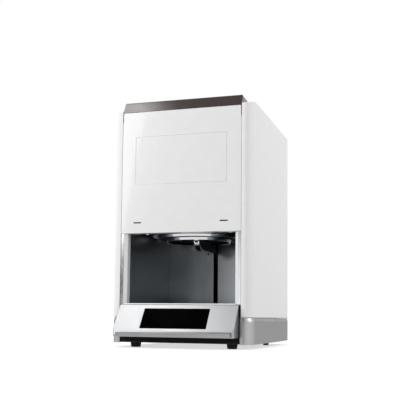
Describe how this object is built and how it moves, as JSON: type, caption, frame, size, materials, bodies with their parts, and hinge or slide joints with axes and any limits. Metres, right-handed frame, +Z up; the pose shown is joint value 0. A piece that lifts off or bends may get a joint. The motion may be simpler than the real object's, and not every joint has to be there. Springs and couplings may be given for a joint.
{
  "type": "dental sintering furnace",
  "caption": "Upright bench furnace with a bottom-loading lift in an open bay, a sloped touch-screen console and a fibre-lined hot chamber above.",
  "frame": {"origin": "middle of the bounding box at floor level, under the feet", "axes": "front with the console faces -Y, +X is the viewer's right from the front, +Z up"},
  "size_m": [0.3562, 0.4964, 0.5999],
  "materials": {
    "white_cover": "gloss",
    "pale_panel": "gloss",
    "brown_gloss": "gloss",
    "silver_plastic": "satin",
    "base_grey": "satin",
    "black_glass": "gloss",
    "black_plastic": "satin",
    "rubber": "matte",
    "painted_steel": "satin",
    "zinc_steel": "satin",
    "bright_steel": "polished",
    "bay_steel": "satin",
    "aluminium": "satin",
    "fibre": "matte",
    "zirconia": "satin",
    "disilicide": "satin",
    "brass": "satin",
    "winding_tape": "satin",
    "board_green": "satin"
  },
  "bodies": {
    "cabinet": {"base_pan": "zinc_steel", "base_skirt": "base_grey", "foot_front_left": "rubber", "foot_front_right": "rubber", "foot_rear_left": "rubber", "foot_rear_right": "rubber", "chassis_side_left": "zinc_steel", "chassis_side_right": "zinc_steel", "kick_panel": "black_plastic", "side_cover_left": "white_cover", "side_cover_right": "white_cover", "front_fascia": "pale_panel", "top_cap": "brown_gloss", "roof_cover": "white_cover", "rear_cover": "white_cover", "jamb_trim_left": "bright_steel", "jamb_trim_right": "bright_steel", "bay_wall_left": "bay_steel", "bay_wall_right": "bay_steel", "bay_back_plate": "bay_steel", "bay_floor": "bay_steel", "bay_ceiling": "painted_steel", "throat_flange": "bright_steel", "chamber_casing": "zinc_steel", "throat_insulation": "fibre", "wall_insulation": "fibre", "lid_insulation": "fibre", "heating_element_1": "disilicide", "heating_element_2": "disilicide", "heating_element_3": "disilicide", "heating_element_4": "disilicide", "element_holder": "zirconia", "thermocouple": "zirconia", "lift_frame": "painted_steel", "guide_rod_left": "bright_steel", "guide_rod_right": "bright_steel", "lift_motor": "black_plastic", "power_transformer": "winding_tape", "power_regulator": "aluminium", "control_board": "board_green", "mains_inlet": "black_plastic", "switch_bezel": "black_plastic", "fan_frame": "black_plastic", "fan_guard": "bright_steel", "console_housing": "silver_plastic", "screen_glass": "black_glass", "display_module": "painted_steel"},
    "lift": {"lift_plate": "bright_steel", "hearth_plug": "fibre", "setter_plate": "zirconia", "lift_arm": "painted_steel", "lift_carriage": "aluminium", "bushing_left": "brass", "bushing_right": "brass", "lead_nut": "brass"},
    "screw": {"lead_screw": "bright_steel", "shaft_coupler": "aluminium"},
    "rotor": {"fan_rotor": "black_plastic"},
    "rocker": {"power_rocker": "black_plastic"}
  },
  "joints": [
    {"name": "lift_slide", "type": "slide", "parent": "cabinet", "child": "lift", "axis": [0, 0, -1], "range_m": [0, 0.13]},
    {"name": "lead_screw_turn", "type": "hinge", "parent": "cabinet", "child": "screw", "pos_m": [0, 0.14925, 0.18], "axis": [0, 0, 1], "range_deg": [0, 5860]},
    {"name": "fan_spin", "type": "hinge", "parent": "cabinet", "child": "rotor", "pos_m": [0, 0.23035, 0.438], "axis": [0, 1, 0], "continuous": true},
    {"name": "rocker_tip", "type": "hinge", "parent": "cabinet", "child": "rocker", "pos_m": [-0.11, 0.24295, 0.1593], "axis": [1, 0, 0], "range_deg": [-16, 0]}
  ],
  "couplings": [
    {"joint": "lead_screw_turn", "follows": "lift_slide", "rad_per_m": 785.4}
  ]
}
